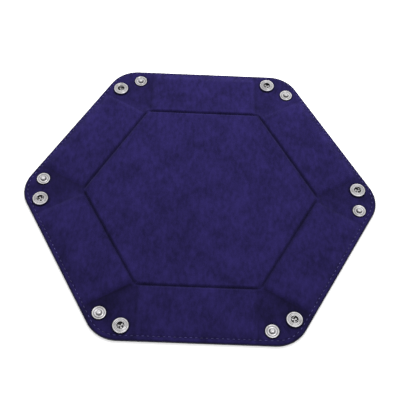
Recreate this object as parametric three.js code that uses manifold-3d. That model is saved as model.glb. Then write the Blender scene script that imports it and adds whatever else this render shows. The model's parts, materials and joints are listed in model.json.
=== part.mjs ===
// A folding hexagonal dice tray, lying open and flat. A leatherette cover and a velvet lining are
// sewn together round their edge, with seven boards between them: one under the base and one in
// each wall. The walls fold up on the base's six fold lines. Between two walls is a gusset with no
// board. It creases along its middle, and its two halves, velvet to velvet, snap together.
// Millimetres, +Z up. The origin is the middle of the underside. The corners of the outline point
// along X, and wall 1 faces -Y. Walls and corners are numbered anticlockwise, seen from above, and
// corner n is the clockwise end of wall n.

import * as THREE from "three";
import { mergeVertices } from "three/addons/utils/BufferGeometryUtils.js";
import Module from "manifold-3d";

const wasm = await Module();
wasm.setup();

// ---- Outline and fold lines ----
const ACROSS_FLATS = 240;
const CORNER_ROUNDING = 25;
const FOLD_SIDE = 90; // a side of the hexagon of fold lines, and so its corner radius
const CREASE_SETBACK = 2.6; // from a fold line's end to the crease between its wall and a gusset
const WALLS = 6;

// ---- Layers, from the table up ----
const COVER = 1.0; // leatherette
const BOARD = 1.5;
const LINING = 0.8; // velvet
const BOND = 0.05; // half of the thin gap between bonded layers

// ---- Room for the folds ----
const SHEET_GAP = 0.15; // from a fold or crease to a sheet's edge, where the sheet only bends
const CREASE_ROOM = 0.75; // from a crease to the cover, which folds onto itself there
const GROOVE_ROOM = 1.0; // from a fold line to the base's lining, which the wall's lining meets
const BOARD_ROOM = 2.5; // from a fold line to the lining raised by a board
const MIDDLE_GAP = 0.3; // from a corner's bisector to each gusset half

// ---- Boards ----
const BASE_BOARD_ROUNDING = 3;
const WALL_BOARD_ROUNDING = 1.5;
const HEM = 7; // from the outline to a wall's board, where the sheets are sewn together
const BOARD_END_GAP = 1.2; // from a crease to the raised lining, at the board's inner corner
const BOARD_TAPER = 1.5; // how much shorter each end of a wall board is at its outer corner
const BOARD_FIT = 0.1; // between a board's edge and the lining turned down round it

// ---- Snaps: distances from the outline, and radii and heights of the four pieces of each ----
const SNAP_INSET = 10.5; // from the outer edge
const SNAP_ALONG = 16.6; // along the outer edge, from where two edges would meet
const POST_RADIUS = 1.3;
const HOLE_RADIUS = 1.6; // in the fabric, the socket and the stud
const RIVET_RADIUS = 1.95; // the post's end, spread to hold the socket or the stud
const RIVET_TOP = 2.05;
const CLAMPED_LOW = 0.75; // the fabric as squeezed between the pieces of a snap
const CLAMPED_HIGH = 1.35;
const SNAP_FIT = 0.3; // round the pieces, where they press into the fabric
const PLATE = 0.3; // sheet metal of the pieces
const CAP_RADIUS = 5.6;
const CAP_FLAT = 0.6; // how much of a cap's edge radius is flat, before it rounds up to the edge
const EYELET_RADIUS = 4.7;
const EYELET_BORE = 0.8;
const SOCKET_RADIUS = 5.9;
const SOCKET_TOP = 3.5;
const SOCKET_MOUTH = 2.4;
const SOCKET_CHAMBER = 4.1;
const STUD_RADIUS = 5.1;
const STUD_RIM_TOP = 2.7;
const KNOB_RADIUS = 1.8;
const KNOB_NECK = 1.55;
const KNOB_TOP = 4.3;

// ---- Fineness of the solids ----
const ROUND_SEGMENTS = 16;
const ARC_STEPS = 3; // half of the steps round each rounded corner
const SAME_POINT = 1e-4; // vertices nearer than this are one

// ---- Worked out from the above ----
const OUTER = ACROSS_FLATS / 2;
const COS30 = Math.cos(Math.PI / 6);
const TAN30 = Math.tan(Math.PI / 6);
const FOLD = FOLD_SIDE * COS30; // from the middle to a fold line
const FLAP = OUTER - FOLD; // a wall's height when it stands
const HALF_WALL = FOLD_SIDE / 2 - CREASE_SETBACK;
const HALF_OUTLINE = OUTER * TAN30; // half a side of the outline, as if its corners were sharp
const SNAP_X = OUTER - SNAP_INSET;
const SNAP_Y = HALF_OUTLINE - SNAP_ALONG;
const RAISED_TOP = COVER + BOARD + LINING;
const FLAT_TOP = COVER + LINING;
const SNAP_LOW = CLAMPED_HIGH + BOND; // where the socket and the stud sit on the fabric
const CAP_HIGH = CLAMPED_LOW - BOND;
const PLATE_TOP = SNAP_LOW + PLATE; // of a socket's or a stud's own floor
const RIVET_LOW = PLATE_TOP + BOND;
const BELOW = -COVER; // where a cut starts that has to go right through the sheets
const ABOVE = RAISED_TOP + COVER; // and where it ends

// ---- Materials ----
function material(colour, roughness, metalness) {
  return new THREE.MeshStandardMaterial({ color: colour, roughness, metalness });
}
const VELVET = material(0x332a6b, 0.95, 0);
const LEATHERETTE = material(0x17142b, 0.55, 0);
const FIBREBOARD = material(0x8d7a60, 0.9, 0);
const NICKEL = material(0xc9c8c4, 0.22, 1);

// ---- Shapes and solids ----
const at = (x, y) => new THREE.Vector2(x, y);

// An anticlockwise convex outline with every corner rounded.
function roundedShape(corners, radius) {
  const shape = new THREE.Shape();
  corners.forEach((corner, i) => {
    const before = corners[(i + corners.length - 1) % corners.length];
    const after = corners[(i + 1) % corners.length];
    const arriving = corner.clone().sub(before);
    const leaving = after.clone().sub(corner);
    const turn = Math.acos(arriving.dot(leaving) / arriving.length() / leaving.length());
    const start = corner.clone().addScaledVector(arriving.normalize(), -radius * Math.tan(turn / 2));
    const centre = start.clone().add(at(-arriving.y, arriving.x).multiplyScalar(radius));
    const from = Math.atan2(-arriving.x, arriving.y);
    if (i === 0) shape.moveTo(start.x, start.y);
    else shape.lineTo(start.x, start.y);
    shape.absarc(centre.x, centre.y, radius, from, from + turn, false);
  });
  return shape;
}

function rectangle(x0, x1, y0, y1) {
  return new THREE.Shape([at(x0, y0), at(x1, y0), at(x1, y1), at(x0, y1)]);
}

// The corners of a hexagon whose sides are this far from the middle.
function hexagon(apothem) {
  return [...Array(WALLS).keys()].map((i) => {
    const angle = (i * 2 * Math.PI) / WALLS;
    return at(Math.cos(angle), Math.sin(angle)).multiplyScalar(apothem / COS30);
  });
}

function plate(shape, low, high) {
  const geometry = new THREE.ExtrudeGeometry(shape, {
    depth: high - low,
    bevelEnabled: false,
    curveSegments: ARC_STEPS,
  });
  return geometry.translate(0, 0, low);
}

// A profile of (radius, height) points, turned about a vertical axis.
function turned(profile) {
  const points = profile.map(([radius, height]) => at(radius, height));
  return new THREE.LatheGeometry(points, ROUND_SEGMENTS).rotateX(Math.PI / 2);
}

function disc(radius, low, high, x, y) {
  return turned([[0, low], [radius, low], [radius, high], [0, high]]).translate(x, y, 0);
}

function solid(geometry) {
  const bare = geometry.clone();
  bare.deleteAttribute("normal");
  bare.deleteAttribute("uv");
  const merged = mergeVertices(bare, SAME_POINT);
  return new wasm.Manifold(
    new wasm.Mesh({
      numProp: 3,
      vertProperties: merged.attributes.position.array,
      triVerts: new Uint32Array(merged.index.array),
    }),
  );
}

function joined(geometries) {
  return geometries.map(solid).reduce((sum, next) => sum.add(next));
}

function geometryOf(shape) {
  const { vertProperties, triVerts } = shape.getMesh();
  const geometry = new THREE.BufferGeometry();
  geometry.setAttribute("position", new THREE.BufferAttribute(vertProperties, 3));
  geometry.setIndex(new THREE.BufferAttribute(triVerts, 1));
  return geometry;
}

function named(name, geometry, finish, x = 0, y = 0) {
  const mesh = new THREE.Mesh(geometry, finish);
  mesh.name = name;
  mesh.position.set(x, y, 0);
  return mesh;
}

// ---- Base ----
function liningOver(flat, raised, board) {
  const upper = joined([
    plate(flat, COVER + BOND, FLAT_TOP),
    plate(raised, COVER + BOND, RAISED_TOP),
  ]);
  return upper.subtract(solid(plate(board, BELOW, COVER + BOARD + BOND)));
}

function baseBoardShape(margin) {
  return roundedShape(hexagon(FOLD - BOARD_ROOM - LINING - BOARD_FIT + margin), BASE_BOARD_ROUNDING);
}

function addBase(tray) {
  const coverShape = new THREE.Shape(hexagon(FOLD - SHEET_GAP));
  const flat = new THREE.Shape(hexagon(FOLD - GROOVE_ROOM));
  const raised = roundedShape(hexagon(FOLD - BOARD_ROOM), BASE_BOARD_ROUNDING);
  const board = plate(baseBoardShape(0), COVER + BOND, COVER + BOARD - BOND);
  const lining = liningOver(flat, raised, baseBoardShape(BOARD_FIT));
  tray.add(
    named("base_cover", plate(coverShape, 0, COVER - BOND), LEATHERETTE),
    named("base_board", board, FIBREBOARD),
    named("base_lining", geometryOf(lining), VELVET),
  );
}

// ---- Walls: x runs outwards from the middle of the tray, and y along the fold line ----
function wallBoardShape(margin) {
  const inner = FOLD + BOARD_ROOM + LINING + BOARD_FIT - margin;
  const outer = OUTER - HEM + margin;
  const innerEnd = HALF_WALL - BOARD_END_GAP - LINING - BOARD_FIT + margin;
  const outerEnd = innerEnd - BOARD_TAPER;
  const corners = [
    at(inner, -innerEnd),
    at(outer, -outerEnd),
    at(outer, outerEnd),
    at(inner, innerEnd),
  ];
  return roundedShape(corners, WALL_BOARD_ROUNDING);
}

function addWall(group, number) {
  const coverEnd = HALF_WALL - CREASE_ROOM;
  const liningEnd = HALF_WALL - SHEET_GAP;
  const coverShape = rectangle(FOLD + SHEET_GAP, OUTER, -coverEnd, coverEnd);
  const flat = rectangle(FOLD + SHEET_GAP, OUTER, -liningEnd, liningEnd);
  const raised = wallBoardShape(BOARD_FIT + LINING);
  const board = plate(wallBoardShape(0), COVER + BOND, COVER + BOARD - BOND);
  const lining = liningOver(flat, raised, wallBoardShape(BOARD_FIT));
  group.add(
    named(`wall_cover_${number}`, plate(coverShape, 0, COVER - BOND), LEATHERETTE),
    named(`wall_board_${number}`, board, FIBREBOARD),
    named(`wall_lining_${number}`, geometryOf(lining), VELVET),
  );
}

// ---- Gusset halves: from the crease at a wall's end to the corner's bisector ----
// side is 1 at the wall's anticlockwise end and -1 at its clockwise end.
function gussetShape(creaseRoom, side) {
  const arcX = OUTER - CORNER_ROUNDING;
  const arcY = HALF_OUTLINE - CORNER_ROUNDING * TAN30;
  const arcEnd = Math.PI / 6 - Math.asin(MIDDLE_GAP / CORNER_ROUNDING);
  const innerX = FOLD + SHEET_GAP;
  const innerY = innerX * TAN30 - MIDDLE_GAP / COS30;
  const shape = new THREE.Shape();
  shape.moveTo(innerX, HALF_WALL + creaseRoom);
  shape.lineTo(OUTER, HALF_WALL + creaseRoom);
  shape.lineTo(OUTER, arcY);
  shape.absarc(arcX, arcY, CORNER_ROUNDING, 0, arcEnd, false);
  shape.lineTo(innerX, innerY);
  return new THREE.Shape(shape.getPoints(ARC_STEPS).map((p) => at(p.x, side * p.y)));
}

// The snap's hole, with a hollow pressed into each face of the fabric round it.
function gussetHalf(side, lowRadius, highRadius) {
  const y = side * SNAP_Y;
  const fabric = joined([
    plate(gussetShape(CREASE_ROOM, side), 0, COVER),
    plate(gussetShape(SHEET_GAP, side), COVER, FLAT_TOP),
  ]);
  const hollows = joined([
    disc(HOLE_RADIUS, BELOW, ABOVE, SNAP_X, y),
    disc(lowRadius + SNAP_FIT, BELOW, CLAMPED_LOW, SNAP_X, y),
    disc(highRadius + SNAP_FIT, CLAMPED_HIGH, ABOVE, SNAP_X, y),
  ]);
  return geometryOf(fabric.subtract(hollows));
}

// ---- Snap pieces, standing as they do in the flat tray ----
function cap() {
  const edge = CAP_RADIUS - PLATE;
  return turned([
    [0, 0],
    [edge * CAP_FLAT, 0],
    [edge, PLATE / 2],
    [CAP_RADIUS, PLATE],
    [edge, CAP_HIGH],
    [POST_RADIUS, CAP_HIGH],
    [POST_RADIUS, RIVET_LOW],
    [RIVET_RADIUS, RIVET_LOW],
    [RIVET_RADIUS - PLATE, RIVET_TOP],
    [0, RIVET_TOP],
  ]);
}

function eyelet() {
  return turned([
    [EYELET_BORE, PLATE],
    [POST_RADIUS, 0],
    [EYELET_RADIUS - PLATE, 0],
    [EYELET_RADIUS, PLATE],
    [EYELET_RADIUS - PLATE, CAP_HIGH],
    [POST_RADIUS, CAP_HIGH],
    [POST_RADIUS, RIVET_LOW],
    [RIVET_RADIUS, RIVET_LOW],
    [RIVET_RADIUS - PLATE, RIVET_TOP],
    [EYELET_BORE, RIVET_TOP],
    [EYELET_BORE, PLATE],
  ]);
}

function socket() {
  const shoulder = SOCKET_TOP - 2 * PLATE;
  return turned([
    [HOLE_RADIUS, SNAP_LOW],
    [SOCKET_CHAMBER, SNAP_LOW],
    [SOCKET_RADIUS, shoulder - 2 * PLATE],
    [SOCKET_RADIUS, shoulder],
    [SOCKET_RADIUS - 2 * PLATE, SOCKET_TOP],
    [SOCKET_MOUTH + PLATE, SOCKET_TOP],
    [SOCKET_MOUTH, SOCKET_TOP - PLATE],
    [SOCKET_CHAMBER, shoulder],
    [SOCKET_CHAMBER, PLATE_TOP],
    [HOLE_RADIUS, PLATE_TOP],
    [HOLE_RADIUS, SNAP_LOW],
  ]);
}

function stud() {
  const room = RIVET_RADIUS + PLATE;
  return turned([
    [HOLE_RADIUS, SNAP_LOW],
    [STUD_RADIUS - PLATE, SNAP_LOW],
    [STUD_RADIUS, SNAP_LOW + 2 * PLATE],
    [STUD_RADIUS - 2 * PLATE, STUD_RIM_TOP],
    [room + PLATE, STUD_RIM_TOP],
    [KNOB_NECK, STUD_RIM_TOP],
    [KNOB_RADIUS, KNOB_TOP - 3 * PLATE],
    [KNOB_RADIUS - PLATE, KNOB_TOP - PLATE],
    [0, KNOB_TOP],
    [0, KNOB_TOP - PLATE],
    [KNOB_NECK - PLATE, KNOB_TOP - 3 * PLATE],
    [KNOB_NECK - PLATE, STUD_RIM_TOP - PLATE],
    [room, STUD_RIM_TOP - PLATE],
    [room, PLATE_TOP],
    [HOLE_RADIUS, PLATE_TOP],
    [HOLE_RADIUS, SNAP_LOW],
  ]);
}

// Corner `number` has its socket on the wall of that number, and its stud on the wall before.
function addSocketSide(group, number) {
  const half = gussetHalf(-1, CAP_RADIUS, SOCKET_RADIUS);
  group.add(
    named(`gusset_${number}_socket_side`, half, VELVET),
    named(`snap_socket_${number}`, socket(), NICKEL, SNAP_X, -SNAP_Y),
    named(`snap_cap_${number}`, cap(), NICKEL, SNAP_X, -SNAP_Y),
  );
}

function addStudSide(group, number) {
  const half = gussetHalf(1, EYELET_RADIUS, STUD_RADIUS);
  group.add(
    named(`gusset_${number}_stud_side`, half, VELVET),
    named(`snap_stud_${number}`, stud(), NICKEL, SNAP_X, SNAP_Y),
    named(`snap_eyelet_${number}`, eyelet(), NICKEL, SNAP_X, SNAP_Y),
  );
}

// ---- The tray ----
const tray = new THREE.Group();
addBase(tray);
for (let number = 1; number <= WALLS; number++) {
  const group = new THREE.Group();
  group.rotation.z = ((number - 1) * 2 * Math.PI) / WALLS - Math.PI / 2;
  addWall(group, number);
  addSocketSide(group, number);
  addStudSide(group, (number % WALLS) + 1);
  tray.add(group);
}

export default tray;
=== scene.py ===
# The looks of a folding hexagonal dice tray: velvet over boards over leatherette, sewn together
# round the edge, with a press snap at each corner. Lengths are in millimetres, and turn into
# metres where a mesh is made or a point is handed over; textures, lights and bumps are in metres.
#
# The velvet and the leatherette are each one sheet. Each is described by formulas for its upper
# and lower face over the whole plan, and is cut into pieces along its folds and creases.
# Neighbouring pieces share their edge points and their surface normals, which come from the
# formulas, so that no cut shows.
#
# Wall coordinates: u runs outwards from a wall's fold line, v along it, anticlockwise.

import json
import math

import bpy
import numpy as np
from mathutils import Matrix, Vector

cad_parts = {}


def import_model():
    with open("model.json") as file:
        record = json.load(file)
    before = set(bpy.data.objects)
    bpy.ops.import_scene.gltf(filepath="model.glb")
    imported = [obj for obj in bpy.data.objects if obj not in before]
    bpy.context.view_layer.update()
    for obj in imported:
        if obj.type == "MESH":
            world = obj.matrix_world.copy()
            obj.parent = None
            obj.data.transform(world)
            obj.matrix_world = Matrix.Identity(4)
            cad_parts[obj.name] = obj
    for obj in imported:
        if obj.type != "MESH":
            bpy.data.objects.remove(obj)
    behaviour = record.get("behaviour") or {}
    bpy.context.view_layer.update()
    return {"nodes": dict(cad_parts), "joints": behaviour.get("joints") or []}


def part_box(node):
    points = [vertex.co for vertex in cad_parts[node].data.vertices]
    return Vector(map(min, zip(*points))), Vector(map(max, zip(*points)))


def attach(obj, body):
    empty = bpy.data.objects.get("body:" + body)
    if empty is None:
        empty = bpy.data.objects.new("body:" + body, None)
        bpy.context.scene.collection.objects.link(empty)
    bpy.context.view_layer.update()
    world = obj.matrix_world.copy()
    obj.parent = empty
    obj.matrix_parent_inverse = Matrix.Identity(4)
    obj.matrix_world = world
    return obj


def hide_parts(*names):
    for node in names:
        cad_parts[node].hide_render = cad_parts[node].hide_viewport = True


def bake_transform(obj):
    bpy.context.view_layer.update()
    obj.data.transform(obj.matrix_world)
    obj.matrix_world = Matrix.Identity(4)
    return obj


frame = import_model()

MM = 0.001
WALLS = 6
TURN = 2 * math.pi / WALLS
TAN30 = math.tan(math.pi / 6)
COS30 = math.cos(math.pi / 6)
SOCKET, STUD = -1, 1  # which end of a wall a half gusset is at


# ---- What the frame says ----
def joint_at(name):
    row = next(j for j in frame["joints"] if j["name"] == name)
    return np.array(row["pos_m"]) / MM


def box(node):
    low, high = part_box(node)
    return np.array(low) / MM, np.array(high) / MM


FOLD = -joint_at("wall_1_fold")[1]
AXIS_Z = joint_at("wall_1_fold")[2]
HALF_WALL = -joint_at("corner_1_socket_side_fold")[0]
OUTER = -box("wall_cover_1")[0][1]
FLAP = OUTER - FOLD
FLAT_TOP = box("gusset_1_socket_side")[1][2]
RAISED_TOP = box("base_lining")[1][2]
BASE_BOARD = box("base_board")[1][1]
WALL_BOARD_LOW, WALL_BOARD_HIGH = box("wall_board_1")
BOARD_TOP = WALL_BOARD_HIGH[2]
LINING = RAISED_TOP - BOARD_TOP
CAP_LOW, CAP_HIGH = box("snap_cap_1")
EYELET_LOW, EYELET_HIGH = box("snap_eyelet_1")
SOCKET_LOW, SOCKET_HIGH = box("snap_socket_1")
STUD_LOW, STUD_HIGH = box("snap_stud_1")
SNAP_X = -(CAP_LOW[1] + CAP_HIGH[1]) / 2
SNAP_Y = -(CAP_LOW[0] + CAP_HIGH[0]) / 2
SOCKET_RADIUS = (SOCKET_HIGH[0] - SOCKET_LOW[0]) / 2
STUD_RADIUS = (STUD_HIGH[0] - STUD_LOW[0]) / 2
CAP_RADIUS = (CAP_HIGH[0] - CAP_LOW[0]) / 2
EYELET_RADIUS = (EYELET_HIGH[0] - EYELET_LOW[0]) / 2
SNAP_FLOOR = SOCKET_LOW[2]
CAP_RIM_TOP = 0.7  # how far up the cap and the eyelet fill the hollow in the leatherette
HALF_OUTLINE = OUTER * TAN30

# ---- Shapes of the cloth ----
CORNER_ROUNDING = 25.0
ARC_X = OUTER - CORNER_ROUNDING
ARC_Y = HALF_OUTLINE - CORNER_ROUNDING * TAN30
BEND = 1.6  # half the width of the cloth that bends at a fold line
CREASE_BEND = 1.2  # half the width that bends at a gusset's crease
VELVET_EDGE = 0.55  # how far the velvet stops short of the leatherette's edge
BOARD_GAP = 0.1  # between a board's edge and the velvet turned down round it
BOARD_TAPER = 1.5  # how much shorter each end of a wall board is at its outer corner
BASE_ROUNDING, WALL_ROUNDING = 1.2, 0.6  # of the boards' corners, as the cloth follows them
INTERFACE = AXIS_Z  # where the two sheets meet, when there is no board between them
GAP = 0.03  # between the two sheets there

# ---- Stitches, right through both sheets, all round ----
STITCH_INSET = 2.7
SEAM_SHIFT = np.array([0.0, 0.9])  # the seam isn't quite in the middle: it is nearer the back edge
WALL_STITCHES = 23
CORNER_STITCHES = 6  # from a crease to the bisector
STITCH_PITCH = 2 * HALF_WALL / WALL_STITCHES
STITCH_ARC = CORNER_ROUNDING - STITCH_INSET
CORNER_PITCH = (ARC_Y - HALF_WALL + STITCH_ARC * TURN / 2) / CORNER_STITCHES
THREAD_RADIUS = 0.2

NORMAL = np.array([[math.sin(i * TURN), -math.cos(i * TURN)] for i in range(WALLS)])
ALONG = np.array([[math.cos(i * TURN), math.sin(i * TURN)] for i in range(WALLS)])


def world(wall, u, v):
    """Plan points of wall coordinates; wall counts from 0."""
    u, v = np.asarray(u, float), np.asarray(v, float)
    return (FOLD + u)[..., None] * NORMAL[wall] + v[..., None] * ALONG[wall]


def step(low, high, x):
    t = np.clip((x - low) / (high - low), 0, 1)
    return t * t * (3 - 2 * t)


def bell(x, width):
    return np.exp(-((x / width) ** 2))


def soft_max(values, rounding):
    """The largest of the rows of values, rounded where two are alike."""
    values = np.array(values)
    top = values.max(0)
    return top + rounding * np.log(np.exp((values - top) / rounding).sum(0))


def from_seam(points):
    """How far inside the seam each point is, and how far round from the middle of its wall.

    The second is in even stitches: it is stretched round the corners to fit theirs.
    """
    moved = points - SEAM_SHIFT
    x = (moved @ NORMAL.T).max(1)
    wall = (moved @ NORMAL.T).argmax(1)
    end = np.abs((moved * ALONG[wall]).sum(1))
    beyond = np.maximum(end - ARC_Y, 0)
    inside = STITCH_ARC - np.hypot(np.maximum(x - ARC_X, 0), beyond)
    turned = np.arctan2(end - ARC_Y, x - ARC_X)
    travelled = np.where(end < ARC_Y, end, ARC_Y + STITCH_ARC * turned)
    past_crease = np.maximum(travelled - HALF_WALL, 0)
    return inside, np.minimum(travelled, HALF_WALL) + past_crease * STITCH_PITCH / CORNER_PITCH


class Plan:
    """What every formula needs to know about some plan points."""

    def __init__(self, points):
        outwards = points @ NORMAL.T - FOLD
        self.points = points
        self.wall = outwards.argmax(1)
        self.u = outwards.max(1)
        self.v = (points * ALONG[self.wall]).sum(1)
        self.side = np.sign(self.v)
        end = np.abs(self.v)
        x = FOLD + self.u
        beyond = np.maximum(end - ARC_Y, 0)
        self.inset = CORNER_ROUNDING - np.hypot(np.maximum(x - ARC_X, 0), beyond)
        turned_down = BOARD_GAP + LINING
        self.base_edge = soft_max([outwards[:, i] for i in range(WALLS)], BASE_ROUNDING)
        self.base_edge += FOLD - BASE_BOARD - turned_down
        inner = -WALL_BOARD_HIGH[1] - turned_down
        outer = -WALL_BOARD_LOW[1] + turned_down
        taper = BOARD_TAPER * (x - inner) / (outer - inner)
        self.wall_foot = inner - x
        self.wall_head = x - outer
        self.wall_end = end - (WALL_BOARD_HIGH[0] + turned_down - taper)
        wall_sides = [self.wall_foot, self.wall_head, self.wall_end]
        self.wall_edge = soft_max(wall_sides, WALL_ROUNDING)
        self.vertex = np.hypot(self.u, end - FOLD * TAN30)
        self.crease = end - HALF_WALL
        self.bisector = x * math.sin(math.pi / 6) - end * COS30
        self.snap = np.hypot(x - SNAP_X, end - SNAP_Y)
        self.seam, self.way = from_seam(points)
        corner = np.arctan2(*NORMAL[self.wall].T[::-1]) + self.side * TURN / 2
        self.back_half = np.sign(-self.side * np.cos(corner))  # 1 there, and -1 in front halves


def waves(points, length, height, seed):
    """Gentle undulation, the same every run."""
    angles = np.array([0.3, 1.25, 2.1, 2.85, 0.75]) + seed
    lengths = length * np.array([1.0, 1.37, 0.83, 1.19, 0.61])
    total = 0
    for angle, wave in zip(angles, lengths):
        along = points @ np.array([math.cos(angle), math.sin(angle)])
        total = total + np.sin(2 * math.pi * along / wave + 5 * angle)
    return height * total / len(angles)


def raised(plan, inside, outside):
    """1 over the boards and 0 away from them, changing this far inside and outside the edge."""
    over_base = 1 - step(-inside, outside, plan.base_edge)
    over_wall = 1 - step(-inside, outside, plan.wall_edge)
    return np.maximum(over_base, over_wall)


def velvet_over_boards(plan):
    """As raised, for the velvet's pile: steep into a fold line, and gentle towards the hem."""
    over_base = 1 - step(0.4, 2.45, plan.base_edge)
    over_wall = 1 - step(0.4, 2.45, plan.wall_foot)
    over_wall *= 1 - step(-3.2, 4.4, plan.wall_head)
    over_wall *= 1 - step(-2.4, 4.2, plan.wall_end)
    return np.maximum(over_base, over_wall)


def velvet_top(plan):
    over = velvet_over_boards(plan)
    height = FLAT_TOP + (RAISED_TOP - FLAT_TOP) * over
    at_vertex = 1 - 0.75 * bell(plan.vertex, 3.0)
    outside = step(-1, 2.5, plan.u)
    height += (0.7 - 0.5 * bell(plan.u, 0.65)) * bell(plan.u, 2.6) * (1 - over)
    height -= 0.16 * bell(plan.crease, 1.0) * outside * at_vertex
    height -= 0.07 * bell(plan.bisector, 1.4) * outside
    height += 0.5 * bell(plan.vertex, 2.4)
    loose = step(0.5, 8, plan.u) * (1 - over) * step(1, 6, plan.inset)
    height += waves(plan.points, 12.0, 0.2, 0.4) * loose * step(SOCKET_RADIUS, 10, plan.snap)
    height += waves(plan.points, 38.0, 0.13, 0.0) * over
    height -= 0.2 * bell(plan.seam, 0.8)
    height -= 0.45 * (1 - step(VELVET_EDGE - 0.1, VELVET_EDGE + 1.1, plan.inset))
    rim = np.where(plan.side < 0, SOCKET_RADIUS, STUD_RADIUS)
    height += 0.12 * bell(plan.snap - rim - 2.6, 1.1)
    pressed = 1 - step(rim - 0.6, rim + 1.7, plan.snap)
    return height * (1 - pressed) + (SNAP_FLOOR - 0.06) * pressed


def velvet_under(plan):
    over = raised(plan, LINING + BOARD_GAP, 0.3)
    return INTERFACE + GAP + (BOARD_TOP + GAP - INTERFACE - GAP) * over


def leatherette_top(plan):
    """Flat under the velvet, with a low bead of edge paint beyond it."""
    return INTERFACE - GAP + 0.4 * step(0, 0.15, plan.inset) * (1 - step(0.3, 0.5, plan.inset))


def leatherette_under(plan):
    over = raised(plan, 1.2, 1.4)
    height = 0.14 * (1 - over) * step(0, 3, plan.inset)
    height += 0.26 * bell(plan.u, 1.3)
    height += 0.22 * bell(plan.crease, 1.1) * step(-1, 2.5, plan.u)
    height += 0.16 * bell(plan.seam, 0.7)
    height += 0.2 * (1 - step(0, 0.6, plan.inset))
    rim = np.where(plan.side < 0, CAP_RADIUS, EYELET_RADIUS)
    pressed = 1 - step(rim + 0.1, rim + 1.5, plan.snap)
    pressed *= step(0, 2, plan.u)
    return height * (1 - pressed) + (CAP_RIM_TOP + 0.05) * pressed


def upright(height, points):
    """Unit normals of the surface that a height formula describes."""
    small = 0.04
    dx, dy = np.array([small, 0]), np.array([0, small])
    east = (height(Plan(points + dx)) - height(Plan(points - dx))) / (2 * small)
    north = (height(Plan(points + dy)) - height(Plan(points - dy))) / (2 * small)
    normals = np.stack([-east, -north, np.ones(len(points))], 1)
    return normals / np.linalg.norm(normals, axis=1)[:, None]


# ---- Cutting plan of both sheets ----
ACROSS = 72  # faces along each side of the base
FINE, EXTRA = 10, 3  # of them, at each end of a wall and beyond its crease
NEAR_END = 5.4  # how much of each end of a wall is fine
BAND = 4.8  # width of the base's finer border
BAND_ROWS = 13
BEND_ROWS = 8
CREASE_COLUMNS = 6
GUSSET_COLUMNS = 28
CROWDING = 1.4  # how those columns crowd towards the bisector; 1 would be even
TUCK_ROWS = 16
TUCK_END = 12.0  # how far from a fold line the tuck at the inner end of a gusset reaches
HEM, RIM = 9.0, 1.1  # widths of the finer and the finest rows along the outline
CORNER_REACH = ARC_X + CORNER_ROUNDING * COS30 - FOLD  # u of the outline at the bisector


def stretch(*spans):
    """Numbers from start to end; each span is (end, how many steps) after the first."""
    numbers = [spans[0]]
    for end, steps in spans[1:]:
        numbers.extend(np.linspace(numbers[-1], end, steps + 1)[1:])
    return np.array(numbers)


def rows_out(edge):
    """u of the rows of points from a fold line to the outline, stopping short by edge."""
    end = FLAP - edge
    return stretch(BEND, (TUCK_END, TUCK_ROWS), (FLAP - HEM, 12), (end - RIM, 18), (end, 6))


def base_plan():
    """A triangular lattice out to the border, and rings from there to the bend."""
    radii = list(np.linspace(0, FOLD - BEND - BAND, ACROSS + 1))
    radii += list(np.linspace(FOLD - BEND - BAND, FOLD - BEND, BAND_ROWS + 1)[1:])
    points, faces, before = [np.zeros((1, 2))], [], 0
    corners = np.array([NORMAL[i] - TAN30 * ALONG[i] for i in range(WALLS)])
    following = np.roll(corners, -1, axis=0)
    start = 1
    for ring, radius in enumerate(radii[1:], 1):
        count = min(ring, ACROSS)
        part = (np.arange(count) / count)[None, :, None]
        sides = corners[:, None] * (1 - part) + following[:, None] * part
        points.append(radius * sides.reshape(-1, 2))
        inner = min(ring - 1, ACROSS)
        for side in range(WALLS):
            for i in range(count):
                a = start + side * count + i
                b = start + (side * count + i + 1) % (WALLS * count)
                if inner == 0:
                    faces.append((a, b, 0))
                    continue
                c = before + (side * inner + i) % (WALLS * inner)
                d = before + (side * inner + i + 1) % (WALLS * inner)
                if count == inner:
                    faces.append((a, b, d, c))
                else:
                    faces.append((a, b, c))
                    if i < count - 1:
                        faces.append((b, d, c))
        before, start = start, start + WALLS * count
    return np.concatenate(points), faces


def grid_faces(columns, rows, wanted=lambda column, row: True):
    """Faces of a grid whose point (column, row) is number row * (columns + 1) + column."""
    faces = []
    for row in range(rows):
        for column in range(columns):
            if wanted(column, row):
                a = row * (columns + 1) + column
                faces.append((a, a + 1, a + columns + 2, a + columns + 1))
    return faces


def wall_plan(edge):
    """Across the bend the wall reaches the corners' bisectors, and beyond it only the creases."""
    end = HALF_WALL - CREASE_BEND
    middle = ACROSS - 2 * FINE - 2 * EXTRA
    fixed = stretch(-end, (NEAR_END - end, FINE), (end - NEAR_END, middle), (end, FINE))
    rows = np.concatenate([np.linspace(-BEND, BEND, BEND_ROWS + 1)[:-1], rows_out(edge)])
    u, v = [], []
    for row in rows:
        reach = (FOLD + min(row, BEND)) * TAN30
        ends = np.linspace(end, reach, EXTRA + 1)[1:]
        settled = np.concatenate([-ends[::-1], fixed, ends])
        even = np.linspace(-reach, reach, ACROSS + 1)
        share = step(-BEND, BEND, row)
        v.append(even * (1 - share) + settled * share)
        u.append(np.full(ACROSS + 1, row))
    faces = grid_faces(
        ACROSS,
        len(rows) - 1,
        lambda column, row: row < BEND_ROWS or EXTRA <= column < ACROSS - EXTRA,
    )
    return np.concatenate(u), np.concatenate(v), faces


def crease_plan(edge):
    rows = rows_out(edge)
    columns = np.linspace(HALF_WALL - CREASE_BEND, HALF_WALL + CREASE_BEND, CREASE_COLUMNS + 1)
    u, v = np.repeat(rows, len(columns)), np.tile(columns, len(rows))
    return u, v, grid_faces(CREASE_COLUMNS, len(rows) - 1)


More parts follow.
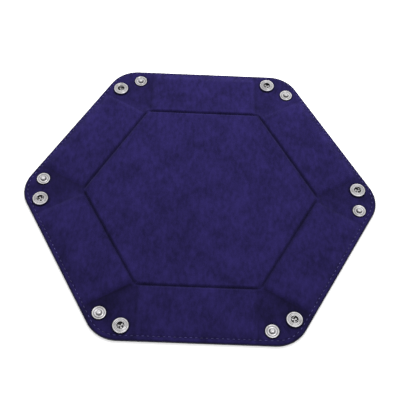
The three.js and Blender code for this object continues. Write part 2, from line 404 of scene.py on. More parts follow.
def gusset_plans(edge):
    """The tuck and the rest, from the crease to the bisector, out to the rounded outline."""
    rows = rows_out(edge)
    tuck_rows = rows[: TUCK_ROWS + 1]
    share = (rows[TUCK_ROWS:] - TUCK_END) / (rows[-1] - TUCK_END)
    near = HALF_WALL + CREASE_BEND
    radius = CORNER_ROUNDING - edge
    straight, arc = ARC_Y - near, radius * math.pi / 6
    tuck_u, tuck_v, u, v = [], [], [], []
    for part in 1 - (1 - np.linspace(0, 1, GUSSET_COLUMNS + 1)) ** CROWDING:
        foot = near + part * ((FOLD + TUCK_END) * TAN30 - near)
        tuck_u.append(tuck_rows)
        tuck_v.append(near + part * ((FOLD + tuck_rows) * TAN30 - near))
        travelled = part * (straight + arc)
        angle = max(travelled - straight, 0) / radius
        head_u = ARC_X - FOLD + radius * math.cos(angle)
        head_v = near + min(travelled, straight) + radius * math.sin(angle)
        u.append(TUCK_END + share * (head_u - TUCK_END))
        v.append(foot + share * (head_v - foot))
    tuck = np.array(tuck_u).T.ravel(), np.array(tuck_v).T.ravel()
    rest = np.array(u).T.ravel(), np.array(v).T.ravel()
    return (
        (*tuck, grid_faces(GUSSET_COLUMNS, TUCK_ROWS)),
        (*rest, grid_faces(GUSSET_COLUMNS, len(rows) - 1 - TUCK_ROWS)),
    )


# ---- Making meshes ----
def material(name):
    made = bpy.data.materials.new(name)
    made.use_nodes = True
    return made


def add_object(name, points, faces, finish):
    mesh = bpy.data.meshes.new(name)
    mesh.from_pydata((np.asarray(points) * MM).tolist(), [], faces)
    mesh.materials.append(finish)
    made = bpy.data.objects.new(name, mesh)
    bpy.context.scene.collection.objects.link(made)
    return made


def add_number(piece, name, values):
    piece.data.attributes.new(name, "FLOAT", "POINT").data.foreach_set(
        "value", np.asarray(values, np.float32)
    )


def add_rest(piece):
    """Where each point is at rest, which the materials' patterns follow, folded or flat."""
    rest = np.empty(len(piece.data.vertices) * 3, np.float32)
    piece.data.vertices.foreach_get("co", rest)
    piece.data.attributes.new("rest", "FLOAT_VECTOR", "POINT").data.foreach_set("vector", rest)


def cloth(name, points, faces, top, under, finish, shade):
    """A closed sheet between two height formulas, over plan points that the faces join."""
    plan = Plan(points)
    count = len(points)
    solid = np.concatenate(
        [np.column_stack([points, top(plan)]), np.column_stack([points, under(plan)])]
    )
    edges = {(a, b) for face in faces for a, b in zip(face, face[1:] + face[:1])}
    rim = [(a + count, b + count, b, a) for a, b in sorted(edges) if (b, a) not in edges]
    below = [tuple(i + count for i in reversed(face)) for face in faces]
    piece = add_object(name, solid, faces + below + rim, finish)
    mesh = piece.data
    smooth = np.zeros(len(mesh.polygons), bool)
    smooth[: 2 * len(faces)] = True
    mesh.polygons.foreach_set("use_smooth", smooth)
    corners = np.empty(len(mesh.loops), np.int32)
    mesh.loops.foreach_get("vertex_index", corners)
    both = np.concatenate([upright(top, points), -upright(under, points)])
    normals = both[corners]
    normals[sum(len(face) for face in faces) * 2 :] = 0
    mesh.normals_split_custom_set(normals.tolist())
    add_number(piece, "shade", np.tile(shade(plan), 2))
    add_number(piece, "seam", np.tile(plan.seam, 2))
    add_number(piece, "way", np.tile(plan.way, 2))
    add_rest(piece)
    return piece


# ---- Materials ----
class Nodes:
    """Short names for the nodes of one material."""

    def __init__(self, finish):
        self.tree = finish.node_tree
        self.inputs = self.tree.nodes["Principled BSDF"].inputs

    def new(self, kind, **settings):
        node = self.tree.nodes.new(kind)
        for key, value in settings.items():
            setattr(node, key, value)
        return node

    def put(self, value, socket):
        if isinstance(value, bpy.types.NodeSocket):
            self.tree.links.new(value, socket)
        else:
            socket.default_value = value

    def attribute(self, name, output="Fac"):
        return self.new("ShaderNodeAttribute", attribute_name=name).outputs[output]

    def maths(self, operation, *values):
        node = self.new("ShaderNodeMath", operation=operation)
        for value, socket in zip(values, node.inputs):
            self.put(value, socket)
        return node.outputs[0]

    def scaled(self, vector, by):
        node = self.new("ShaderNodeVectorMath", operation="MULTIPLY")
        self.put(vector, node.inputs[0])
        node.inputs[1].default_value = by
        return node.outputs[0]

    def noise(self, vector, scale, detail=2.0, rough=0.5):
        node = self.new("ShaderNodeTexNoise")
        self.put(vector, node.inputs["Vector"])
        node.inputs["Scale"].default_value = scale
        node.inputs["Detail"].default_value = detail
        node.inputs["Roughness"].default_value = rough
        return node.outputs["Fac"]

    def cells(self, vector, scale):
        node = self.new("ShaderNodeTexVoronoi")
        self.put(vector, node.inputs["Vector"])
        node.inputs["Scale"].default_value = scale
        return node.outputs["Distance"]

    def ramp(self, value, *stops):
        node = self.new("ShaderNodeValToRGB")
        ramp = node.color_ramp
        while len(ramp.elements) < len(stops):
            ramp.elements.new(0.5)
        for element, (place, colour) in zip(ramp.elements, stops):
            element.position = place
            element.color = (*colour, 1)
        self.put(value, node.inputs[0])
        return node.outputs[0]

    def times(self, colour, value):
        node = self.new("ShaderNodeVectorMath", operation="SCALE")
        self.put(colour, node.inputs[0])
        self.put(value, node.inputs["Scale"])
        return node.outputs[0]

    def bump(self, height, strength, distance, under=None):
        node = self.new("ShaderNodeBump")
        self.put(height, node.inputs["Height"])
        node.inputs["Strength"].default_value = strength
        node.inputs["Distance"].default_value = distance
        if under:
            self.put(under, node.inputs["Normal"])
        return node.outputs[0]

    def total(self, *terms):
        """Sum of (value, weight) pairs, each value counted from one half, added to one half."""
        sum_so_far = 0.5
        for value, weight in terms:
            away = self.maths("SUBTRACT", value, 0.5)
            sum_so_far = self.maths("MULTIPLY_ADD", away, weight, sum_so_far)
        return sum_so_far


def stitch_hollows(nodes):
    """Height of the cloth round the stitches: high under each, and drawn in at its two holes."""
    off_line = nodes.attribute("seam")
    way = nodes.attribute("way")
    squared = nodes.maths("MULTIPLY", off_line, off_line)
    near = nodes.maths("EXPONENT", nodes.maths("MULTIPLY", squared, -1.1))
    phase = nodes.maths("MULTIPLY", way, 2 * math.pi / STITCH_PITCH)
    wave = nodes.maths("COSINE", phase)
    return nodes.maths("MULTIPLY", near, nodes.maths("MULTIPLY", wave, 0.5))


# The ends of each finish's range of colour
VELVET_DARK, VELVET_LIGHT = (0.0070, 0.0048, 0.034), (0.0164, 0.0112, 0.076)
LEATHER_DARK, LEATHER_LIGHT = (0.007, 0.006, 0.016), (0.019, 0.0165, 0.044)
BOARD_DARK, BOARD_LIGHT = (0.16, 0.11, 0.07), (0.34, 0.26, 0.18)
THREAD_DARK, THREAD_LIGHT = (0.013, 0.010, 0.06), (0.054, 0.043, 0.23)
NICKEL_DARK, NICKEL_LIGHT = (0.34, 0.33, 0.325), (0.87, 0.86, 0.88)


def velvet_finish():
    finish = material("velvet")
    nodes = Nodes(finish)
    rest = nodes.attribute("rest", "Vector")
    blotches = nodes.noise(rest, 48.0, 3.0, 0.6)
    brush_marks_and_gusset_shade = nodes.noise(nodes.scaled(rest, (1.0, 0.5, 1.0)), 330.0, 3.0, 0.6)
    tufts = nodes.noise(rest, 1500.0, 2.0, 0.7)
    tone = nodes.total((blotches, 1.0), (brush_marks_and_gusset_shade, 1.1), (tufts, 0.6))
    colour = nodes.ramp(tone, (0.2, VELVET_DARK), (0.8, VELVET_LIGHT))
    shaded = nodes.times(colour, nodes.attribute("shade"))
    nodes.put(shaded, nodes.inputs["Base Color"])
    pile = nodes.bump(tufts, 0.5, 0.00025)
    pile = nodes.bump(brush_marks_and_gusset_shade, 0.35, 0.0003, pile)
    pile = nodes.bump(stitch_hollows(nodes), 0.8, 0.0003, pile)
    nodes.put(pile, nodes.inputs["Normal"])
    nodes.inputs["Roughness"].default_value = 0.95
    nodes.inputs["Specular IOR Level"].default_value = 0.12
    nodes.inputs["Sheen Weight"].default_value = 0.16
    nodes.inputs["Sheen Roughness"].default_value = 0.45
    nodes.inputs["Sheen Tint"].default_value = (0.36, 0.33, 0.9, 1)
    return finish


def leatherette_finish():
    finish = material("leatherette")
    nodes = Nodes(finish)
    rest = nodes.attribute("rest", "Vector")
    pebbles = nodes.cells(rest, 900.0)
    creases = nodes.noise(rest, 260.0, 4.0, 0.6)
    patches = nodes.noise(rest, 40.0, 2.0, 0.5)
    tone = nodes.total((pebbles, 0.5), (creases, 0.5), (patches, 0.3))
    colour = nodes.ramp(tone, (0.25, LEATHER_DARK), (0.85, LEATHER_LIGHT))
    shaded = nodes.times(colour, nodes.attribute("shade"))
    nodes.put(shaded, nodes.inputs["Base Color"])
    rough = nodes.ramp(tone, (0.2, (0.68,) * 3), (0.8, (0.48,) * 3))
    nodes.put(rough, nodes.inputs["Roughness"])
    nodes.inputs["Specular IOR Level"].default_value = 0.3
    grain = nodes.bump(pebbles, 0.6, 0.00022)
    grain = nodes.bump(creases, 0.3, 0.0003, grain)
    grain = nodes.bump(stitch_hollows(nodes), 0.7, 0.0003, grain)
    nodes.put(grain, nodes.inputs["Normal"])
    return finish


def board_finish():
    finish = material("fibreboard")
    nodes = Nodes(finish)
    rest = nodes.new("ShaderNodeTexCoord").outputs["Object"]
    fibres = nodes.noise(nodes.scaled(rest, (1.0, 0.25, 1.0)), 900.0, 4.0, 0.7)
    specks = nodes.noise(rest, 300.0, 3.0, 0.6)
    tone = nodes.total((fibres, 0.8), (specks, 0.6))
    colour = nodes.ramp(tone, (0.2, BOARD_DARK), (0.8, BOARD_LIGHT))
    nodes.put(colour, nodes.inputs["Base Color"])
    nodes.put(nodes.bump(fibres, 0.4, 0.0002), nodes.inputs["Normal"])
    nodes.inputs["Roughness"].default_value = 0.9
    return finish


def thread_finish():
    finish = material("thread")
    nodes = Nodes(finish)
    twist = nodes.attribute("twist")
    plies = nodes.maths("MULTIPLY_ADD", nodes.maths("SINE", twist), 0.5, 0.5)
    fuzz = nodes.noise(nodes.attribute("rest", "Vector"), 3000.0, 2.0, 0.6)
    faded = nodes.noise(nodes.attribute("rest", "Vector"), 260.0, 1.0, 0.5)
    tone = nodes.total((plies, 0.4), (fuzz, 0.4), (faded, 2.2))
    colour = nodes.ramp(tone, (0.15, THREAD_DARK), (0.85, THREAD_LIGHT))
    nodes.put(colour, nodes.inputs["Base Color"])
    nodes.put(nodes.bump(plies, 0.5, 0.00008), nodes.inputs["Normal"])
    nodes.inputs["Roughness"].default_value = 0.6
    nodes.inputs["Sheen Weight"].default_value = 0.2
    return finish


def nickel_finish():
    finish = material("nickel")
    nodes = Nodes(finish)
    rest = nodes.attribute("rest", "Vector")
    wear = nodes.noise(rest, 900.0, 4.0, 0.6)
    smears = nodes.noise(rest, 220.0, 2.0, 0.5)
    tone = nodes.total((wear, 0.5), (smears, 0.6))
    colour = nodes.ramp(tone, (0.25, NICKEL_DARK), (0.7, NICKEL_LIGHT))
    # the colour is darkened by painted shade in the snaps' hollows and grooves
    painted_shading = nodes.attribute("painted_shading")
    nodes.put(nodes.times(colour, painted_shading), nodes.inputs["Base Color"])
    rough = nodes.ramp(tone, (0.25, (0.22,) * 3), (0.75, (0.1,) * 3))
    nodes.put(rough, nodes.inputs["Roughness"])
    nodes.put(nodes.bump(wear, 0.08, 0.0001), nodes.inputs["Normal"])
    nodes.inputs["Metallic"].default_value = 1.0
    return finish


VELVET = velvet_finish()
LEATHERETTE = leatherette_finish()
THREAD = thread_finish()
NICKEL = nickel_finish()
FIBREBOARD = board_finish()


# ---- Painted shade and real wear, following the shape ----
GUSSET_SHADE = 0.275  # painted shade: how much darker the gussets are painted than the walls
GUSSET_LIGHT_WAY = np.array([0.03, 0.09])  # and less so towards here, where the light comes from


def velvet_shade(plan):
    """Painted shade: darker in the folds and creases, along the seam and the cut edge, in a ring
    round each snap, and over the gussets, most where they face away from the light.
    """
    at_vertex = 1 - 0.7 * bell(plan.vertex, 2.0)
    outwards = plan.points / np.maximum(np.hypot(*plan.points.T), 1)[:, None]
    sideways = np.abs(outwards[:, 0])
    shade = 1 - (0.42 + 0.12 * sideways) * bell(plan.u, 1.0 + 0.9 * sideways) * at_vertex
    shade -= 0.15 * bell(plan.crease, 1.5) * step(0, 3, plan.u)
    rim = np.where(plan.side < 0, SOCKET_RADIUS, STUD_RADIUS)
    shade -= 0.7 * (1 - step(rim, rim + 1.3, plan.snap)) * step(0, 3, plan.u)
    shade -= 0.2 * bell(plan.seam, 0.7)
    shade -= 0.4 * (1 - step(VELVET_EDGE, VELVET_EDGE + 0.6, plan.inset))
    in_gusset = step(-0.6, 0.8, plan.crease) * step(0.5, 3, plan.u)
    brush_marks_and_gusset_shade = GUSSET_SHADE - outwards @ GUSSET_LIGHT_WAY
    across = plan.bisector / np.maximum(plan.bisector + np.maximum(plan.crease, 0), 0.1)
    # painted shade, darker still at the crease of a back half, and lighter at that of a front half
    at_crease = np.where(plan.back_half > 0, 0.75, 0.3 - 1.2 * sideways)
    brush_marks_and_gusset_shade *= 1 + at_crease * np.clip(across, 0, 1)
    shade *= 1 - brush_marks_and_gusset_shade * in_gusset * (1 - 0.35 * step(12, 3, plan.inset))
    return np.clip(shade, 0.12, 1.2)


def leatherette_shade(plan):
    worn = 0.5 * bell(plan.u, 1.6) + 0.3 * bell(plan.inset - 2, 0.8)
    return 1 + worn


# ---- The sheets ----
def at(wall, u, v, z=AXIS_Z):
    x, y = world(wall, u, v)
    return (x * MM, y * MM, z * MM)


def half_names(wall, side):
    """The corner's number, the word for the side and the body, for one end of a wall from 0."""
    if side == SOCKET:
        return wall + 1, "socket", f"corner_{wall + 1}_socket_side"
    number = (wall + 1) % WALLS + 1
    return number, "stud", f"corner_{number}_stud_side"


CLOSING_WIDTH = 11.0  # across the bisector, how far it takes for the turning in to fade by one


class Closing:
    """How a half gusset turns in along the corner's bisector, to meet the other half folded.

    The three numbers are how much of the way back to its wall it turns at the bisector: at its
    inner end, where its tuck ends, and at the rounded corner of the outline.
    """

    def __init__(self, inner, cut, outer):
        self.cut = cut
        reach = (CORNER_REACH - TUCK_END) / COS30
        self.fade = (cut - outer) / reach
        self.extra = (inner - cut) / TUCK_END - self.fade / COS30

    def ends(self, wall, side, tuck=False):
        outwards = np.array([COS30, side * 0.5])
        away = np.array([0.5, -side * COS30])
        known = np.array([TUCK_END, side * (FOLD + TUCK_END) * TAN30])
        slope = -(away / CLOSING_WIDTH + self.fade * outwards)
        if tuck:
            slope = slope - [self.extra, 0]
        towards = slope / (slope @ slope)
        start = known - self.cut * towards
        return at(wall, *start), at(wall, *(start + towards))


VELVET_CLOSING = Closing(0.37, 0.2, 0.105)
LEATHERETTE_CLOSING = Closing(0.57, 0.27, 0.145)


def plan_area(points, faces):
    total = 0.0
    for face in faces:
        x, y = points[list(face)].T
        total += abs(np.dot(x, np.roll(y, -1)) - np.dot(y, np.roll(x, -1))) / 2
    return total


def facing_up(faces, side):
    """A grid faces up where v runs clockwise; anywhere else its faces are turned over."""
    return faces if side < 0 else [tuple(reversed(face)) for face in faces]


class Sheet:
    """One sheet of cloth: its faces, its finish, and how it meets the outline and the bisectors."""

    def __init__(self, word, slots, node, top, under, finish, shade, edge, closing, under_it):
        self.word, self.slot, self.gusset_slot, self.node = word, *slots, node
        self.top, self.under, self.finish, self.shade = top, under, finish, shade
        self.edge, self.closing, self.under_it = edge, closing, under_it

    def cut(self, name, points, faces, slot):
        piece = cloth(
            f"{self.word}_{name}", points, faces, self.top, self.under, self.finish, self.shade
        )
        return piece

    def add_base(self):
        points, faces = base_plan()
        base = self.cut("base", points, faces, self.slot)
        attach(base, "base")
        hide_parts(f"base_{self.node}")
        self.under_it("base")

    def add_wall(self, wall, grid):
        u, v, faces = grid
        points = world(wall, u, v)
        faces = facing_up(faces, STUD)
        name = f"wall_{wall + 1}"
        piece = self.cut(name, points, faces, self.slot)
        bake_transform(piece)
        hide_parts(f"wall_{self.node}_{wall + 1}")
        self.under_it(name)

    def add_half(self, wall, side, crease_grid, tuck_grid, gusset_grid):
        number, which, body = half_names(wall, side)

        def cut(kind, grid, slot):
            u, v, faces = grid
            points = world(wall, u, side * v)
            piece = self.cut(f"{kind}_{number}_{which}", points, facing_up(faces, side), slot)
            return piece, plan_area(points, faces)

        strip, _ = cut("crease", crease_grid, self.slot)
        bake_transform(strip)
        tuck, _ = cut("tuck", tuck_grid, self.gusset_slot)
        start, end = self.closing.ends(wall, side, tuck=True)
        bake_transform(tuck)
        half, area = cut("gusset", gusset_grid, self.gusset_slot)
        start, end = self.closing.ends(wall, side)
        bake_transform(half)
        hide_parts(f"gusset_{number}_{which}_side")
        under_it = self.under_it(f"gusset_{number}_{which}")

    def add(self):
        self.add_base()
        wall_grid, crease_grid = wall_plan(self.edge), crease_plan(self.edge)
        gusset_grids = gusset_plans(self.edge)
        for wall in range(WALLS):
            self.add_wall(wall, wall_grid)
            for side in (SOCKET, STUD):
                self.add_half(wall, side, crease_grid, *gusset_grids)


def over_leatherette(place):
    if "gusset" in place:
        return f"leatherette_{place}"
    return "base_board" if place == "base" else place.replace("wall", "wall_board")


def on_floor(place):
    return "floor"


# ---- Stitches ----
THREAD_TWIST = 7.0  # radians of the plies' turn for each millimetre
STITCH_GAP = 1.0  # from a needle hole's middle to the end of the thread that goes into it
STITCH_DIP = 0.3  # how far its ends sink into the cloth
STITCH_ARCH = 0.13  # how far its middle's core stands off the cloth


def tube(path, radii, sides):
    """Points and faces of a closed tube along a path, and each point's turn of the twist."""
    path, radii = np.asarray(path, float), np.asarray(radii, float)
    ahead = np.gradient(path, axis=0)
    ahead /= np.linalg.norm(ahead, axis=1)[:, None]
    across = np.cross(ahead, [0, 0, 1.0])
    across /= np.linalg.norm(across, axis=1)[:, None]
    above = np.cross(across, ahead)
    round_it = np.arange(sides) * 2 * math.pi / sides
    points = path[:, None] + radii[:, None, None] * (
        np.cos(round_it)[None, :, None] * across[:, None]
        + np.sin(round_it)[None, :, None] * above[:, None]
    )
    faces = []
    for ring in range(len(path) - 1):
        for i in range(sides):
            a, b = ring * sides + i, ring * sides + (i + 1) % sides
            faces.append((a, b, b + sides, a + sides))
    last = (len(path) - 1) * sides
    faces.append(tuple(range(sides))[::-1])
    faces.append(tuple(range(last, last + sides)))
    along = np.concatenate([[0], np.cumsum(np.linalg.norm(np.diff(path, axis=0), axis=1))])
    twist = round_it[None, :] * 2 + along[:, None] * THREAD_TWIST
    return points.reshape(-1, 3), faces, twist.ravel()


def seam_point(way, side):
    """Wall coordinates of the seam line, this far round from the middle of a wall."""
    if way < ARC_Y:
        return OUTER - STITCH_INSET - FOLD, side * way
    angle = (way - ARC_Y) / STITCH_ARC
    return (
        ARC_X + STITCH_ARC * math.cos(angle) - FOLD,
        side * (ARC_Y + STITCH_ARC * math.sin(angle)),
    )


def stitch_path(wall, side, first, last, cloth_height, outwards):
    """The core of one stitch between two ways round the outline, on one face of the tray."""
    part = np.linspace(0, 1, 9)
    ways = first + (last - first) * part
    seam = np.array([seam_point(abs(way), side if way > 0 else -side) for way in ways])
    plan = world(wall, seam[:, 0], seam[:, 1]) + SEAM_SHIFT
    ends = np.abs(2 * part - 1) ** 4  # 0 in the middle, and 1 at either end
    off = STITCH_ARCH * (1 - ends) - STITCH_DIP * ends
    return np.column_stack([plan, cloth_height(Plan(plan)) + outwards * off])


def add_stitches(name, paths):
    points, faces, twists, count = [], [], [], 0
    for path in paths:
        part = np.linspace(-1, 1, len(path))
        radii = THREAD_RADIUS * (1 - 0.45 * part**4)
        some, joined, twist = tube(path, radii, 8)
        points.append(some)
        twists.append(twist)
        faces += [tuple(i + count for i in face) for face in joined]
        count += len(some)
    piece = add_object(name, np.concatenate(points), faces, THREAD)
    piece.data.polygons.foreach_set("use_smooth", [True] * len(piece.data.polygons))
    add_number(piece, "twist", np.concatenate(twists))
    add_rest(piece)
    return piece


FACES = (  # each face's word, the height of its cloth, which way it looks, its slot, its closing
    ("upper", velvet_top, 1, "velvet_lining", VELVET_CLOSING),
    ("lower", leatherette_under, -1, "leatherette_cover", LEATHERETTE_CLOSING),
)


def add_seam():
    for wall in range(WALLS):
        for word, height, outwards, slot, closing in FACES:
            paths = []
            for i in range(WALL_STITCHES):
                first = -HALF_WALL + i * STITCH_PITCH + STITCH_GAP
                last = first + STITCH_PITCH - 2 * STITCH_GAP
                paths.append(stitch_path(wall, 1, first, last, height, outwards))
            seam = add_stitches(f"{word}_stitches_wall_{wall + 1}", paths)
            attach(seam, f"wall_{wall + 1}")
            for side in (SOCKET, STUD):
                number, which, body = half_names(wall, side)
                paths = []
                for i in range(CORNER_STITCHES):
                    first = HALF_WALL + i * CORNER_PITCH + STITCH_GAP
                    last = first + CORNER_PITCH - 2 * STITCH_GAP
                    paths.append(stitch_path(wall, side, first, last, height, outwards))
                seam = add_stitches(f"{word}_stitches_{number}_{which}", paths)
                start, end = closing.ends(wall, side)
                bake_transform(seam)


# ---- Snaps ----
SEGMENTS = 72  # round each turned piece
HOLE = 1.6  # radius of the hole in the socket's floor and the stud's
POST_RADIUS = 1.3
EYELET_BORE = 0.8
RIVET_RADIUS = 1.95
KNOB_RADIUS = 1.8
KNOB_NECK = 1.55
TURN_STEP, FIRST_TURN = 0.85, 0.35  # radians; so that neighbouring snaps don't look alike


def rounded(corners, radius):
    """A profile with each corner, apart from the first and the last, turned into a small curve."""
    corners = np.array(corners, float)
    profile = [corners[0]]
    for before, corner, after in zip(corners, corners[1:], corners[2:]):
        arriving, leaving = before - corner, after - corner
        long_enough = 0.45 * min(np.linalg.norm(arriving), np.linalg.norm(leaving))
        cut = min(radius, long_enough)
        start = corner + arriving / np.linalg.norm(arriving) * cut
        end = corner + leaving / np.linalg.norm(leaving) * cut
        for t in np.linspace(0, 1, 5):
            profile.append((1 - t) ** 2 * start + 2 * t * (1 - t) * corner + t * t * end)
    profile.append(corners[-1])
    return np.array(profile)


def turned(profile):
    """A solid of revolution. The profile goes out along the bottom, up, and back in along the top.

    It starts and ends on the axis, or else closes on itself.
    """
    on_axis = profile[0][0] == 0
    rings = profile[1:-1] if on_axis else profile[:-1]
    angle = np.arange(SEGMENTS) * 2 * math.pi / SEGMENTS
    points = np.stack(
        [
            rings[:, :1] * np.cos(angle),
            rings[:, :1] * np.sin(angle),
            np.repeat(rings[:, 1:], SEGMENTS, axis=1),
        ],
        -1,
    ).reshape(-1, 3)
    count = len(rings)
    faces = []
    for ring in range(count - 1 if on_axis else count):
        this, following = ring * SEGMENTS, (ring + 1) % count * SEGMENTS
        for i in range(SEGMENTS):
            j = (i + 1) % SEGMENTS
            faces.append((this + i, this + j, following + j, following + i))
    if on_axis:
        first, last = len(points), len(points) + 1
        points = np.concatenate([points, [[0, 0, profile[0][1]], [0, 0, profile[-1][1]]]])
        top = (count - 1) * SEGMENTS
        for i in range(SEGMENTS):
            j = (i + 1) % SEGMENTS
            faces.append((j, i, first))
            faces.append((top + i, top + j, last))
    return points, faces


def add_metal(name, parts, painted_shading, wall, side):
    """Turned and bent parts of one metal piece, given round the snap's own axis and turned."""
    points, faces, count = [], [], 0
    for some, joined in parts:
        points.append(some)
        faces += [tuple(i + count for i in face) for face in joined]
        count += len(some)
    local = np.concatenate(points)
    turn = wall * TURN_STEP + FIRST_TURN
    x = local[:, 0] * math.cos(turn) - local[:, 1] * math.sin(turn)
    y = local[:, 0] * math.sin(turn) + local[:, 1] * math.cos(turn)
    plan = world(wall, SNAP_X - FOLD + x, side * SNAP_Y + y)
    piece = add_object(name, np.column_stack([plan, local[:, 2]]), faces, NICKEL)
    piece.data.polygons.foreach_set("use_smooth", [True] * len(piece.data.polygons))
    add_number(piece, "painted_shading", painted_shading(local))
    add_rest(piece)
    weighted = piece.modifiers.new("weighted_normals", "WEIGHTED_NORMAL")
    weighted.keep_sharp = False
    return piece


def radius_of(local):
    return np.hypot(local[:, 0], local[:, 1])


def between_petals(local):
    angle = np.arctan2(local[:, 1], local[:, 0])
    return step(0.45, 0.8, np.abs(np.sin(1.5 * angle)))


def socket_shell():
    top, wide = SOCKET_HIGH[2], SOCKET_RADIUS
    low = SNAP_FLOOR + GAP
    inner, floor = 3.9, SNAP_FLOOR + 0.32
    mouth = 2.75
    corners = [
        (inner, 2.6), (inner, floor), (HOLE, floor), (HOLE, low), (4.6, low), (5.6, 1.75),
        (wide, 2.2), (wide, 2.75), (5.72, 3.2), (5.3, top), (4.9, top), (4.62, 3.28),
        (4.42, 3.16), (4.28, 3.3), (4.0, 3.34), (3.84, 3.2), (3.65, 3.17), (3.4, 3.22),
        (3.25, 3.42), (2.96, 3.44), (mouth, 3.25), (mouth, 2.85), (3.0, 2.72), (inner, 2.6),
    ]
    profile = rounded(corners, 0.16)
    return turned(np.concatenate([profile[:-1], profile[:1]]))


def socket_painted_shading(local):
    """Painted shade: little light gets into the chamber, and the pressed rings are painted with
    their grooves' shadow.
    """
    radius, height = radius_of(local), local[:, 2]
    painted_shading = 1 - 0.92 * (radius < 4.05) * (height < 3.0)
    painted_shading -= 0.6 * bell(radius - 4.5, 0.2) * (height > 2.9)
    return painted_shading - 0.45 * bell(radius - 3.65, 0.26) * (height > 2.9)


def spring_wires():
    """Two nearly straight wires, one each side of the stud's neck."""
    wires = []
    for place in (-1, 1):
        x = np.linspace(-3.3, 3.3, 13)
        y = place * (1.9 + 0.01 * x * x)
        wires.append(tube(np.column_stack([x, y, np.full(13, 2.55)]), np.full(13, 0.19), 10)[:2])
    return wires


def rivet_end():
    """A post's end, split and spread in three petals over the floor of a socket or a stud."""
    wide, top = RIVET_RADIUS, 2.05
    corners = [
        (0, 1.5), (1.3, 1.5), (1.34, 1.76), (1.7, 1.76), (wide, 1.84), (wide, top - 0.08),
        (1.7, top), (1.2, top), (0.75, top - 0.06), (0.5, 1.9), (0, 1.88),
    ]
    points, faces = turned(rounded(corners, 0.08))
    on_top = step(1.86, 1.95, points[:, 2]) * step(0.2, 0.7, radius_of(points))
    points[:, 2] -= 0.18 * between_petals(points) * on_top
    return points, faces


def rivet_painted_shading(local):
    # painted shade inside the chamber, darkest in the gaps between the petals
    inside = local[:, 2] > 1.45
    return 1 - inside * (0.15 + 0.8 * between_petals(local) * step(0.25, 0.6, radius_of(local)))


def without_painted_shading(local):
    return np.ones(len(local))


def cap_disc():
    wide = CAP_RADIUS
    corners = [
        (0, 0.0), (2.5, 0.01), (4.4, 0.07), (5.1, 0.17), (5.5, 0.32), (wide, 0.5), (wide, 0.6),
        (5.45, CAP_RIM_TOP), (POST_RADIUS, CAP_RIM_TOP), (POST_RADIUS, 1.6), (0, 1.6),
    ]
    return turned(rounded(corners, 0.12))


def eyelet_ring():
    wide = EYELET_RADIUS
    corners = [
        (EYELET_BORE, 1.6), (EYELET_BORE, 0.5), (1.05, 0.1), (1.5, 0.0), (2.6, 0.06), (3.4, 0.2),
        (3.9, 0.03), (4.3, 0.03), (wide, 0.3), (wide, 0.55), (4.5, CAP_RIM_TOP),
        (POST_RADIUS, CAP_RIM_TOP), (POST_RADIUS, 1.6), (EYELET_BORE, 1.6),
    ]
    profile = rounded(corners, 0.1)
    return turned(np.concatenate([profile[:-1], profile[:1]]))


def stud_shell():
    low, wide, top = SNAP_FLOOR + GAP, STUD_RADIUS, STUD_HIGH[2]
    corners = [
        (0, 3.7), (1.1, 3.6), (1.15, 2.3), (3.5, 2.1), (3.5, 1.72), (HOLE, 1.72), (HOLE, low),
        (4.3, low), (4.95, 1.7), (wide, 2.1), (4.95, 2.5), (4.6, 2.68), (4.2, 2.64), (3.85, 2.36),
        (3.55, 2.3), (3.3, 2.5), (2.9, 2.6), (2.3, 2.52), (2.0, 2.3), (1.62, 2.35),
        (KNOB_NECK, 2.8), (1.72, 3.1), (KNOB_RADIUS, 3.4), (1.74, 3.8), (1.4, 4.15),
        (0.9, top), (0, top),
    ]
    return turned(rounded(corners, 0.22))


def stud_painted_shading(local):
    radius, height = radius_of(local), local[:, 2]
    # painted shade: the shadow in the groove round the flange's ring and round the knob's neck
    painted_shading = 1 - 0.6 * bell(radius - 3.65, 0.26) * (height > 2)
    return painted_shading - 0.8 * bell(radius - 1.8, 0.34) * (height > 2) * (height < 3.4)


def add_snaps():
    for wall in range(WALLS):
        for side in (SOCKET, STUD):
            number, _, body = half_names(wall, side)

            def add(word, parts, painted_shading):
                piece = add_metal(f"snap_{number}_{word}", parts, painted_shading, wall, side)
                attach(piece, body)
                return piece

            if side == SOCKET:
                shell = add("socket_shell", [socket_shell()], socket_painted_shading)
                add("spring", spring_wires(), without_painted_shading)
                cap = add("cap", [cap_disc(), rivet_end()], rivet_painted_shading)
                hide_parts(f"snap_socket_{number}")
                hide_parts(f"snap_cap_{number}")
            else:
                shell = add("stud_shell", [stud_shell()], stud_painted_shading)
                eyelet = add("eyelet", [eyelet_ring()], without_painted_shading)
                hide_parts(f"snap_stud_{number}")
                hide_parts(f"snap_eyelet_{number}")


# ---- Stage, light and camera ----
CAMERA_AT = (-8.0, -322.9, 519.6)
CAMERA_YAW, CAMERA_DOWN, CAMERA_ROLL = 1.39, 58.42, 3.39
CAMERA_LENS = 71.7  # on a 36 mm sensor
FLOOR_HALF, FLOOR_Z = 4000, -0.1
SKY = ((0.0, 0.35), (1.0, 1.0), (0.45, 0.75))  # how light it is by height, from 0, level, to 1


def add_camera():
    yaw, down, roll = (math.radians(a) for a in (CAMERA_YAW, CAMERA_DOWN, CAMERA_ROLL))
    ahead = np.array(
        [math.sin(yaw) * math.cos(down), math.cos(yaw) * math.cos(down), -math.sin(down)]
    )
    right = np.array([math.cos(yaw), -math.sin(yaw), 0])
    up = np.cross(right, ahead)
    turned_right = math.cos(roll) * right + math.sin(roll) * up
    turned_up = math.cos(roll) * up - math.sin(roll) * right
    data = bpy.data.cameras.new("camera")
    data.lens = CAMERA_LENS
    data.sensor_width = 36.0
    data.clip_start, data.clip_end = 0.01, 20.0
    camera = bpy.data.objects.new("camera", data)
    bpy.context.scene.collection.objects.link(camera)
    turn = Matrix(np.column_stack([turned_right, turned_up, -ahead]).tolist())
    camera.matrix_world = Matrix.Translation(np.array(CAMERA_AT) * MM) @ turn.to_4x4()
    bpy.context.scene.camera = camera


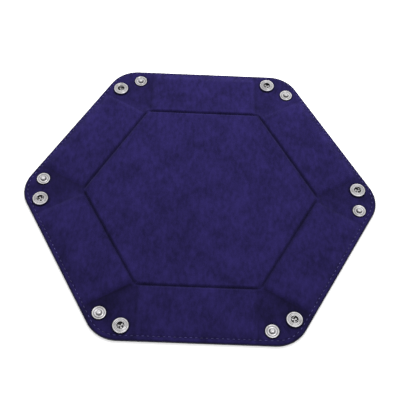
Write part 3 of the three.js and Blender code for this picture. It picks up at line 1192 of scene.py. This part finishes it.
def add_light(name, place, size, power, mirrored):
    """A soft square lamp, facing the middle of the tray. mirrored says if metal reflects it."""
    data = bpy.data.lights.new(name, "AREA")
    data.size = size
    data.energy = power
    lamp = bpy.data.objects.new(name, data)
    bpy.context.scene.collection.objects.link(lamp)
    lamp.location = place
    lamp.rotation_euler = (-Vector(place)).to_track_quat("-Z", "Y").to_euler()
    lamp.visible_glossy = mirrored


def add_stage():
    around = [(-1, -1), (1, -1), (1, 1), (-1, 1)]
    corners = [(x * FLOOR_HALF, y * FLOOR_HALF, FLOOR_Z) for x, y in around]
    floor = add_object("floor", corners, [(0, 1, 2, 3)], material("floor"))
    nodes = Nodes(floor.data.materials[0])
    nodes.inputs["Base Color"].default_value = (0.98, 0.98, 0.98, 1)
    nodes.inputs["Roughness"].default_value = 0.9
    nodes.inputs["Specular IOR Level"].default_value = 0.1
    world_made = bpy.data.worlds.new("studio")
    world_made.use_nodes = True
    tree = world_made.node_tree
    background = tree.nodes["Background"]
    background.inputs["Strength"].default_value = 1.12
    direction = tree.nodes.new("ShaderNodeTexCoord")
    split = tree.nodes.new("ShaderNodeSeparateXYZ")
    ramp = tree.nodes.new("ShaderNodeValToRGB")
    elements = [*ramp.color_ramp.elements, ramp.color_ramp.elements.new(0.5)]
    for element, (place, grey) in zip(elements, SKY):
        element.position = place
        element.color = (grey, grey, grey, 1)
    tree.links.new(direction.outputs["Generated"], split.inputs[0])
    tree.links.new(split.outputs["Z"], ramp.inputs[0])
    tree.links.new(ramp.outputs[0], background.inputs["Color"])
    bpy.context.scene.world = world_made
    bpy.context.scene.view_settings.view_transform = "Standard"
    add_light("back_softbox", (0.05, 0.4, 0.3), 0.3, 2.9, mirrored=False)
    add_light("top_softbox", (0.35, -0.1, 1.1), 0.5, 1.2, mirrored=True)


# ---- Putting it together ----
add_camera()
add_stage()
Sheet(
    "leatherette", ("leatherette_cover", "leatherette_cover"), "cover",
    leatherette_top, leatherette_under, LEATHERETTE, leatherette_shade,
    0.0, LEATHERETTE_CLOSING, on_floor,
).add()
Sheet(
    "velvet", ("velvet_lining", "gusset_fabric"), "lining",
    velvet_top, velvet_under, VELVET, velvet_shade,
    VELVET_EDGE, VELVET_CLOSING, over_leatherette,
).add()
add_seam()
add_snaps()
for name, node in frame["nodes"].items():
    if "_board" in name:
        for slot in node.material_slots:
            slot.material = FIBREBOARD
